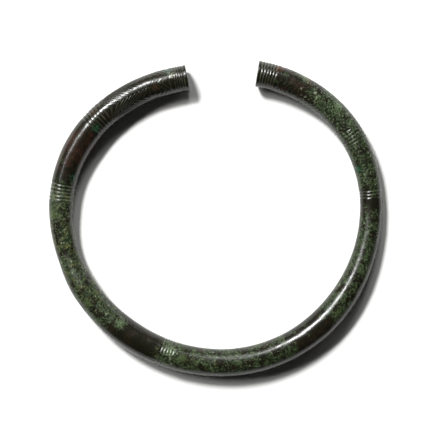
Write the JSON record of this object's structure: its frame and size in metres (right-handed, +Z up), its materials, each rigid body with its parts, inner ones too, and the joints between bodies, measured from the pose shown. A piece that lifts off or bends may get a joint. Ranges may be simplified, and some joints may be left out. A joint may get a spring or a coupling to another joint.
{
  "type": "penannular bracelet",
  "caption": "Open bracelet bent from one round bar into an uneven ring, with square-cut ends and bands of grooves and chevrons.",
  "frame": {"origin": "centre of the bounding box in X and Y, at the underside that the ring lies on", "axes": "+Z up through the ring's opening, +X across the ring to the right, +Y towards the gap between the two ends"},
  "size_m": [0.0806, 0.0762, 0.0068],
  "materials": {
    "patinated_bronze": "dark brown and green patina, polished"
  },
  "bodies": {
    "root": {"bracelet": "patinated_bronze"}
  },
  "joints": []
}
